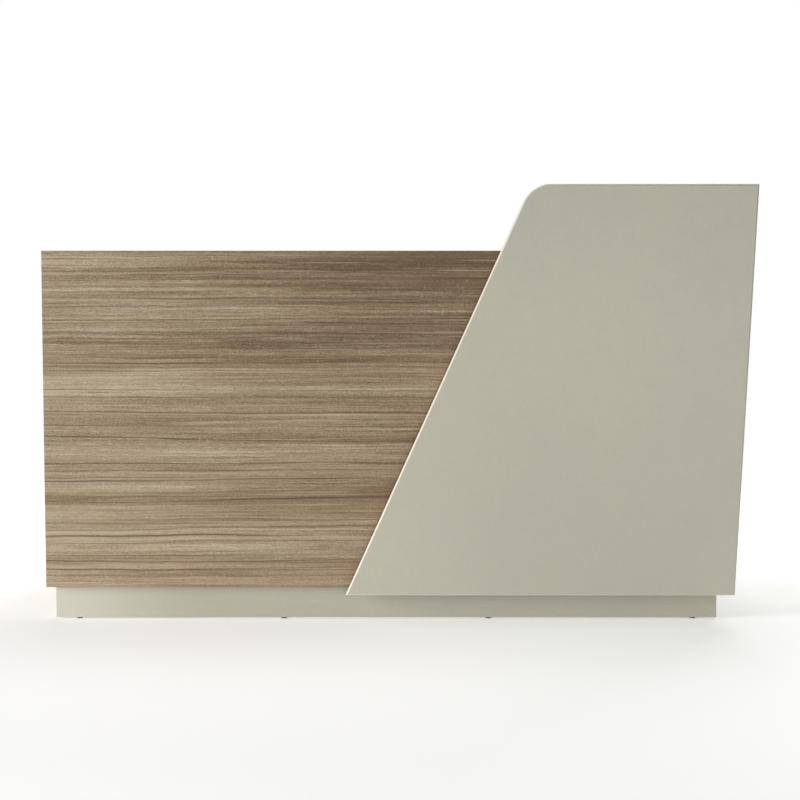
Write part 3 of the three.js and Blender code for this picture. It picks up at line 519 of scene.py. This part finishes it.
def pick(kind, test):
    """Selects the vertices, edges or faces of the open piece whose place in the desk passes the test."""
    piece = bpy.context.object
    bpy.ops.mesh.select_all(action="DESELECT")
    bpy.ops.mesh.select_mode(type={"verts": "VERT", "edges": "EDGE", "faces": "FACE"}[kind])
    mesh = bmesh.from_edit_mesh(piece.data)
    for element in getattr(mesh, kind):
        corners = [element] if kind == "verts" else element.verts
        element.select_set(bool(test([piece.matrix_world @ corner.co for corner in corners])))
    mesh.select_flush_mode()
    bmesh.update_edit_mesh(piece.data)


def extrude(shift):
    bpy.ops.mesh.extrude_region_move(TRANSFORM_OT_translate={"value": shift})


def widen(factor, middle):
    bpy.ops.transform.resize(value=(factor, factor, factor), center_override=middle)


def close_up():
    bpy.ops.mesh.select_mode(type="VERT")
    bpy.ops.mesh.select_all(action="SELECT")
    bpy.ops.mesh.remove_doubles(threshold=WELD)
    bpy.ops.mesh.normals_make_consistent(inside=False)
    bpy.ops.object.mode_set(mode="OBJECT")


def smooth(piece, turn=BOARD_TURN):
    """Puts a piece's place into its mesh and shades it, with its broad faces kept flat."""
    bpy.ops.object.select_all(action="DESELECT")
    piece.select_set(True)
    bpy.context.view_layer.objects.active = piece
    bpy.ops.object.transform_apply(location=True, rotation=True, scale=True)
    bpy.ops.object.shade_smooth_by_angle(angle=math.radians(turn))
    bpy.ops.object.modifier_add(type="WEIGHTED_NORMAL")
    piece.modifiers[-1].keep_sharp = True
    bpy.ops.object.modifier_apply(modifier=piece.modifiers[-1].name)


def fit(piece, body, slot, material, *replaced):
    piece.data.materials.clear()
    piece.data.materials.append(material)
    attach(piece, body)
    if replaced:
        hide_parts(*replaced)


def again(piece, name, place, turn=(0, 0, 0)):
    """A copy of a finished piece, with a mesh of its own, at another place."""
    copy = bpy.data.objects.new(name, piece.data.copy())
    copy.data.name = name
    bpy.context.collection.objects.link(copy)
    copy.location = place
    copy.rotation_euler = turn
    bpy.ops.object.select_all(action="DESELECT")
    copy.select_set(True)
    bpy.context.view_layer.objects.active = copy
    bpy.ops.object.transform_apply(location=True, rotation=True, scale=True)
    return copy


def likeness(node, name):
    """A copy of a solid, with its triangles joined into whole faces."""
    piece = bpy.data.objects.new(name, frame["nodes"][node].data.copy())
    piece.data.name = name
    bpy.context.collection.objects.link(piece)
    bpy.ops.object.select_all(action="DESELECT")
    piece.select_set(True)
    bpy.context.view_layer.objects.active = piece
    bpy.ops.object.mode_set(mode="EDIT")
    bpy.ops.mesh.select_all(action="SELECT")
    bpy.ops.mesh.remove_doubles(threshold=SOLID_WELD)
    bpy.ops.mesh.dissolve_limited(angle_limit=FLAT)
    bpy.ops.object.mode_set(mode="OBJECT")
    return piece


def discard(piece):
    bpy.data.objects.remove(piece)


def carve(piece, cutter):
    """Takes the cutter's shape out of a piece."""
    bpy.ops.object.select_all(action="DESELECT")
    piece.select_set(True)
    bpy.context.view_layer.objects.active = piece
    bpy.ops.object.modifier_add(type="BOOLEAN")
    cut = piece.modifiers[-1]
    cut.operation = "DIFFERENCE"
    cut.object = cutter
    bpy.ops.object.modifier_apply(modifier=cut.name)
    discard(cutter)


# The slanted panel, with a quarter round on its edges

LEAN = 0.047
CORNER_REACH = 0.0465
CORNER_STEPS = 20
ROUND = 0.005
ROUND_SHAPE = 0.42
ROUND_STEPS = 6


def slanted_panel():
    low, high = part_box("slanted_panel")
    size = high - low
    piece = begin(
        "slanted_panel_round",
        bpy.ops.mesh.primitive_cube_add,
        size=1,
        location=(low + high) / 2,
        scale=size,
    )
    pick("verts", lambda at: near(at[0].x, low.x) and near(at[0].z, high.z))
    corner = low.x + size.z * math.tan(SLANT)
    bpy.ops.transform.translate(value=(corner - low.x, 0, 0))
    pick("verts", lambda at: near(at[0].x, high.x) and near(at[0].z, low.z))
    bpy.ops.transform.translate(value=(-LEAN, 0, 0))
    pick("edges", lambda at: all(near(p.x, corner) and near(p.z, high.z) for p in at))
    bpy.ops.mesh.bevel(offset=CORNER_REACH, segments=CORNER_STEPS, affect="EDGES", clamp_overlap=False)
    pick("edges", lambda at: near(at[0].y, at[1].y))
    bpy.ops.mesh.bevel(
        offset=ROUND,
        segments=ROUND_STEPS,
        profile=ROUND_SHAPE,
        affect="EDGES",
        clamp_overlap=False,
    )
    close_up()
    smooth(piece)
    fit(piece, "carcass", "grey_lacquer", own_finishes["slanted_panel"], "slanted_panel")


slanted_panel()


# Bow handles

BAR_RADIUS = 0.005
FOOT_RADIUS = 0.0066
FOOT_HEIGHT = 0.0011
FOOT_FLARE = 0.0016
BEND = 0.013
BAR_SIDES = 28
BEND_STEPS = 10


def bow_handle(node):
    """A bent bar on two flared feet, drawn at the place of a level handle."""
    low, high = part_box(node)
    level = (low.z + high.z) / 2
    left = low.x + BAR_RADIUS
    right = high.x - BAR_RADIUS
    bar = high.y - BAR_RADIUS
    piece = begin(
        node + "_bow",
        bpy.ops.mesh.primitive_circle_add,
        vertices=BAR_SIDES,
        radius=FOOT_RADIUS,
        fill_type="NGON",
        location=(left, low.y, level),
        rotation=(-QUARTER, 0, 0),
    )
    flared = low.y + FOOT_HEIGHT
    slim = flared + FOOT_FLARE
    bpy.ops.mesh.select_all(action="SELECT")
    extrude((0, FOOT_HEIGHT, 0))
    extrude((0, FOOT_FLARE, 0))
    widen(BAR_RADIUS / FOOT_RADIUS, (left, slim, level))
    extrude((0, bar - BEND - slim, 0))
    turn = {"steps": BEND_STEPS, "angle": QUARTER, "axis": (0, 0, 1)}
    bpy.ops.mesh.spin(center=(left + BEND, bar - BEND, level), **turn)
    extrude((right - left - 2 * BEND, 0, 0))
    bpy.ops.mesh.spin(center=(right - BEND, bar - BEND, level), **turn)
    extrude((0, slim - bar + BEND, 0))
    extrude((0, -FOOT_FLARE, 0))
    widen(FOOT_RADIUS / BAR_RADIUS, (right, flared, level))
    extrude((0, -FOOT_HEIGHT, 0))
    close_up()
    smooth(piece, ROUND_TURN)
    return piece


def middle_of(node):
    low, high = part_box(node)
    return (low + high) / 2


first_handle = bow_handle("drawer_1_handle")
first_place = middle_of("drawer_1_handle")
for node in ("drawer_2_handle", "drawer_3_handle"):
    copy = again(first_handle, node + "_bow", middle_of(node) - first_place)
    fit(copy, riders[node], "satin_metal", finishes["satin_metal"], node)
at_origin = again(first_handle, "bow", -first_place)
upright = again(at_origin, "door_handle_bow", middle_of("door_handle"), turn=(0, QUARTER, 0))
fit(upright, "door", "satin_metal", own_finishes["door_handle"], "door_handle")
fit(first_handle, "drawer_1", "satin_metal", finishes["satin_metal"], "drawer_1_handle")
discard(at_origin)


# Metal and plastic fittings, their arrises rounded over

SOFT_EDGES = {
    "powder_coat": 0.0004,
    "zinc_steel": 0.0003,
    "satin_metal": 0.00025,
    "black_plastic": 0.0005,
}
SOFT_STEPS = 2
SOFT_LIMIT = math.radians(30)


def softened(node, width):
    """A fitting with the shape of its solid and rounded arrises."""
    piece = likeness(node, node + "_soft")
    bpy.ops.object.modifier_add(type="BEVEL")
    bevel = piece.modifiers[-1]
    bevel.width = width
    bevel.segments = SOFT_STEPS
    bevel.limit_method = "ANGLE"
    bevel.angle_limit = SOFT_LIMIT
    bpy.ops.object.modifier_apply(modifier=bevel.name)
    smooth(piece, FITTING_TURN)
    fit(piece, riders[node], slots[node], finish_of(node), node)


for node, slot in slots.items():
    if slot in SOFT_EDGES and not node.endswith("handle"):
        softened(node, SOFT_EDGES[slot])


# Small hardware

SCREW_RADIUS = 0.0029
SCREW_RISE = 0.00012
SCREW_SIDES = 24
RECESS_LENGTH = 0.0034
RECESS_WIDTH = 0.0008
RECESS_DEPTH = 0.0006
SCREW_DEPTH = 0.001
SCREW_FOOT = 0.6  # of the head's radius
SCREW_CROWN = 0.9  # of the head's radius


def cross_screw():
    """A flush screw head with a cross recess, facing up at the origin."""
    head = begin(
        "screw",
        bpy.ops.mesh.primitive_circle_add,
        vertices=SCREW_SIDES,
        radius=SCREW_RADIUS * SCREW_FOOT,
        fill_type="NGON",
        location=(0, 0, -SCREW_DEPTH),
    )
    bpy.ops.mesh.select_all(action="SELECT")
    extrude((0, 0, SCREW_DEPTH))
    widen(1 / SCREW_FOOT, (0, 0, 0))
    extrude((0, 0, SCREW_RISE))
    widen(SCREW_CROWN, (0, 0, SCREW_RISE))
    close_up()
    cross = begin(
        "recess",
        bpy.ops.mesh.primitive_cube_add,
        size=1,
        scale=(RECESS_WIDTH, RECESS_WIDTH, 2 * RECESS_DEPTH),
    )
    arm = (RECESS_LENGTH - RECESS_WIDTH) / 2
    for way in (Vector((1, 0, 0)), Vector((-1, 0, 0)), Vector((0, 1, 0)), Vector((0, -1, 0))):
        side = way * RECESS_WIDTH / 2
        pick("faces", lambda at: all(near(p.dot(way), side.dot(way)) for p in at))
        extrude(way * arm)
    close_up()
    carve(head, cross)
    smooth(head)
    return head


FACING = {
    "+X": (0, QUARTER, 0),
    "-X": (0, -QUARTER, 0),
    "-Y": (QUARTER, 0, 0),
    "-Z": (math.pi, 0, 0),
}
LEAF_SCREWS = 3
LEAF_FACE = 0.0013  # from the board behind a hinge leaf
LEAF_SCREW_INSET = 0.006
STRIKE_FACE = 0.002  # from the worktop's underside
STRIKE_SCREW_SPREAD = 0.02
STRIKE_SCREW_INSET = 0.009
EAR_FACE = 0.0025  # from the board behind the catch
EAR_SCREW_INSET = 0.0045

left_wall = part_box("cabinet_side")[1].x
right_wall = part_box("right_end_panel")[0].x


def steel(pattern, name, place, way, body):
    """A copy of a small steel piece, facing way."""
    fit(again(pattern, name, place, FACING[way]), body, "zinc_steel", finishes["zinc_steel"])


screw = cross_screw()
leaves = {
    "frame": ("carcass", "-X", right_wall - LEAF_FACE),
    "door": ("door", "+X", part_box("door")[1].x + LEAF_FACE),
}
for where in ("lower", "upper"):
    for leaf, (body, way, face) in leaves.items():
        node = f"hinge_{where}_{leaf}_leaf"
        low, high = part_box(node)
        for i in range(LEAF_SCREWS):
            level = low.z + (high.z - low.z) * (i + 0.5) / LEAF_SCREWS
            steel(screw, f"{node}_screw_{i + 1}", (face, low.y + LEAF_SCREW_INSET, level), way, body)

low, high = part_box("lock_strike")
for i, side in enumerate((-1, 1)):
    across = (low.x + high.x) / 2 + side * STRIKE_SCREW_SPREAD
    place = (across, low.y + STRIKE_SCREW_INSET, high.z - STRIKE_FACE)
    steel(screw, f"strike_screw_{i + 1}", place, "-Z", "carcass")

low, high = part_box("door_catch")
for i, level in enumerate((low.z + EAR_SCREW_INSET, high.z - EAR_SCREW_INSET)):
    place = (low.x + EAR_FACE, (low.y + high.y) / 2, level)
    steel(screw, f"catch_screw_{i + 1}", place, "+X", "carcass")
discard(screw)


def turned(name, profile, sides):
    """A solid turned piece from [radius, height] points, standing at the origin."""
    start, rest = profile[0], profile[1:]
    piece = begin(
        name,
        bpy.ops.mesh.primitive_circle_add,
        vertices=sides,
        radius=start[0],
        fill_type="NGON",
        location=(0, 0, start[1]),
    )
    bpy.ops.mesh.select_all(action="SELECT")
    radius, level = start
    for wide, high in rest:
        extrude((0, 0, high - level))
        widen(wide / radius, (0, 0, high))
        radius, level = wide, high
    close_up()
    smooth(piece, ROUND_TURN)
    return piece


# Steel pins under the cabinet's shelf, and the rows of holes that it can be moved to

PIN_PROFILE = [(0.0024, 0), (0.0024, 0.0062), (0.0034, 0.0064), (0.0034, 0.0078), (0.0031, 0.0082)]
PIN_SIDES = 20
PIN_ROWS = (-0.16, 0.22)
HOLE_PITCH = 0.032
HOLES_EACH_WAY = 7  # above a pin, and as many below it
HOLE_RADIUS = 0.0025
HOLE_DEPTH = 0.01
HOLE_SIDES = 16
pin_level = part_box("cabinet_shelf")[0].z - PIN_PROFILE[2][0]


def drilled(node, face, way):
    """A board with the shape of its solid and the rows of holes. face is the x of the side that is drilled,
    and way is 1 where that side looks right and -1 where it looks left."""
    board = likeness(node, node + "_drilled")
    bits = begin(
        "bits",
        bpy.ops.mesh.primitive_circle_add,
        vertices=HOLE_SIDES,
        radius=HOLE_RADIUS,
        fill_type="NGON",
        location=(face - way * HOLE_DEPTH, PIN_ROWS[0], pin_level - HOLES_EACH_WAY * HOLE_PITCH),
        rotation=(0, QUARTER, 0),
    )
    bpy.ops.mesh.select_all(action="SELECT")
    extrude((2 * way * HOLE_DEPTH, 0, 0))
    bpy.ops.mesh.select_all(action="SELECT")
    for step in range(1, 2 * HOLES_EACH_WAY):
        rise = 2 * HOLE_PITCH if step == HOLES_EACH_WAY else HOLE_PITCH
        bpy.ops.mesh.duplicate_move(TRANSFORM_OT_translate={"value": (0, 0, rise)})
    bpy.ops.mesh.select_all(action="SELECT")
    bpy.ops.mesh.duplicate_move(TRANSFORM_OT_translate={"value": (0, PIN_ROWS[1] - PIN_ROWS[0], 0)})
    close_up()
    carve(board, bits)
    smooth(board)
    fit(board, riders[node], slots[node], finish_of(node), node)


drilled("cabinet_side", left_wall, 1)
drilled("right_end_panel", right_wall, -1)
shelf_pin = turned("shelf_pin", PIN_PROFILE, PIN_SIDES)
for i, deep in enumerate(PIN_ROWS):
    for side, wall, way in (("left", left_wall, "+X"), ("right", right_wall, "-X")):
        steel(shelf_pin, f"shelf_pin_{side}_{i + 1}", (wall, deep, pin_level), way, "carcass")
discard(shelf_pin)

# Soft bumpers on the backs of the drawer fronts and the door, over the edges of the boards they close on

BUMPER_PROFILE = [(0.0042, 0), (0.0042, 0.0004), (0.0036, 0.0009), (0.0024, 0.0012)]
BUMPER_SIDES = 24
BUMPER_INSET = 0.014
BUMPER_BOARDS = {
    "drawer_1": "pedestal_side",
    "drawer_2": "pedestal_side",
    "drawer_3": "pedestal_side",
    "door": "cabinet_side",
}

bumper = turned("bumper", BUMPER_PROFILE, BUMPER_SIDES)
for body, board in BUMPER_BOARDS.items():
    low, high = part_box(body if body == "door" else body + "_front")
    across = middle_of(board).x
    for i, level in enumerate((low.z + BUMPER_INSET, high.z - BUMPER_INSET)):
        copy = again(bumper, f"{body}_bumper_{i + 1}", (across, low.y, level), FACING["-Y"])
        fit(copy, body, "black_plastic", rubber)
discard(bumper)


# Catch: two pole plates in the housing, and the keeper on the door that they hold

PLATE_BORDER = 0.0008
PLATE_DISH = 0.0003
PLATE_CORNER_STEPS = 4
POLE_SIDES = (0.0032, 0.0098)  # from the housing's side
POLE_THICKNESS = 0.0012
POLE_DEPTH = 0.003
POLE_PROUD = 0.0001
POLE_INSET = 0.011
POLE_CORNER = 0.0003
KEEPER_THICKNESS = 0.0012
KEEPER_LEFT_INSET = 0.001
KEEPER_RIGHT_INSET = 0.0005
KEEPER_END_INSET = 0.007
KEEPER_CORNER = 0.002


def plate(name, low, high, corner, body):
    """A small pressed plate filling a box, with rounded corners and a dished face."""
    low, high = Vector(low), Vector(high)
    piece = begin(
        name,
        bpy.ops.mesh.primitive_cube_add,
        size=1,
        location=(low + high) / 2,
        scale=high - low,
    )
    pick("edges", lambda at: not near(at[0].y, at[1].y))
    bpy.ops.mesh.bevel(offset=corner, segments=PLATE_CORNER_STEPS, affect="EDGES")
    pick("faces", lambda at: all(near(p.y, low.y) for p in at))
    bpy.ops.mesh.inset(thickness=PLATE_BORDER)
    extrude((0, PLATE_DISH, 0))
    close_up()
    smooth(piece)
    fit(piece, body, "zinc_steel", finishes["zinc_steel"])


low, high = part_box("door_catch")
for i, side in enumerate(POLE_SIDES):
    inner = (low.x + side, high.y - POLE_DEPTH, low.z + POLE_INSET)
    outer = (low.x + side + POLE_THICKNESS, high.y + POLE_PROUD, high.z - POLE_INSET)
    plate(f"catch_pole_{i + 1}", inner, outer, POLE_CORNER, "carcass")
door_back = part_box("door")[0].y
inner = (low.x + KEEPER_LEFT_INSET, door_back - KEEPER_THICKNESS, low.z + KEEPER_END_INSET)
outer = (high.x - KEEPER_RIGHT_INSET, door_back, high.z - KEEPER_END_INSET)
plate("catch_keeper", inner, outer, KEEPER_CORNER, "door")


# Floor, light and camera

FLOOR_RADIUS = 4.0
FLOOR_SIDES = 96
FLOOR_DROP = 0.0003
FLOOR_FADE = (1.5, 3.4)
FLOOR_GLOW = 0.35
PALE = (0.93, 0.93, 0.92, 1)
HORIZON = (0.32, 0.32, 0.316, 1)
ZENITH = (0.2, 0.2, 0.204, 1)
BACKDROP = (1, 1, 1, 1)
# Each softbox's place, the point it faces, its size and its power in watts
SOFTBOXES = {
    "key_left": ((-9.0, -3.2, 1.7), (0, -0.35, 0.5), (3.0, 4.0), 980),
    "fill_front": ((1.4, -4.6, 0.8), (0.3, -0.3, 0.5), (3.0, 1.6), 24),
    "fill_back": ((1.2, 3.4, 2.8), (0, 0.2, 0.6), (4.0, 2.2), 105),
    "overhead": ((-0.2, 0.7, 3.4), (0, 0.3, 0), (2.6, 1.4), 36),
}


def floor():
    bpy.ops.object.select_all(action="DESELECT")
    bpy.ops.mesh.primitive_circle_add(
        vertices=FLOOR_SIDES,
        radius=FLOOR_RADIUS,
        fill_type="NGON",
        location=(0, 0, -FLOOR_DROP),
    )
    ground = bpy.context.object
    ground.name = "floor"
    bpy.ops.object.transform_apply(location=True, rotation=True, scale=True)
    colours = {"Base_Color": PALE, "Emission_Color": PALE}
    finish = Finish("pale_floor", Roughness=0.9, Emission_Strength=FLOOR_GLOW, **colours)
    across, deep, _ = finish.parts(finish.place)
    distance = (across ** 2 + deep ** 2) ** 0.5
    finish.feed(Alpha=1 - finish.rise(distance, *FLOOR_FADE))
    ground.data.materials.append(finish.material)


def softbox(name, place, target, size, power):
    light = bpy.data.lights.new(name, "AREA")
    light.shape = "RECTANGLE"
    light.size, light.size_y = size
    light.energy = power
    lamp = bpy.data.objects.new(name, light)
    lamp.location = place
    lamp.rotation_euler = (Vector(target) - Vector(place)).to_track_quat("-Z", "Y").to_euler()
    bpy.context.collection.objects.link(lamp)


def studio():
    """Softboxes in a dim dome, which the camera sees as plain white."""
    world = bpy.data.worlds.new("studio")
    bpy.context.scene.world = world
    world.use_nodes = True
    sky = Paint(world.node_tree)
    direction = sky.node("ShaderNodeTexCoord", output="Generated")
    up = sky.parts(direction)[2]
    dome = sky.mix(sky.rise(up, 0.1, 0.8), HORIZON, ZENITH)
    lighting = sky.node("ShaderNodeBackground", None, {"Color": dome})
    backdrop = sky.node("ShaderNodeBackground", None, {"Color": BACKDROP})
    seen = sky.node("ShaderNodeLightPath", output="Is Camera Ray")
    shown = sky.node("ShaderNodeMixShader", None, {0: seen, 1: lighting, 2: backdrop})
    sky.node("ShaderNodeOutputWorld", None, {"Surface": shown})
    for name, settings in SOFTBOXES.items():
        softbox(name, *settings)
    bpy.context.scene.view_settings.view_transform = "Standard"


def camera():
    lens = bpy.data.cameras.new("camera")
    lens.sensor_width = SENSOR_WIDTH
    lens.lens = FOCAL_PIXELS / FRAME_PIXELS * SENSOR_WIDTH
    viewer = bpy.data.objects.new("camera", lens)
    viewer.location = CAMERA_PLACE
    viewer.rotation_euler = (QUARTER - CAMERA_PITCH, 0, 0)
    bpy.context.collection.objects.link(viewer)
    bpy.context.scene.camera = viewer


floor()
studio()
camera()
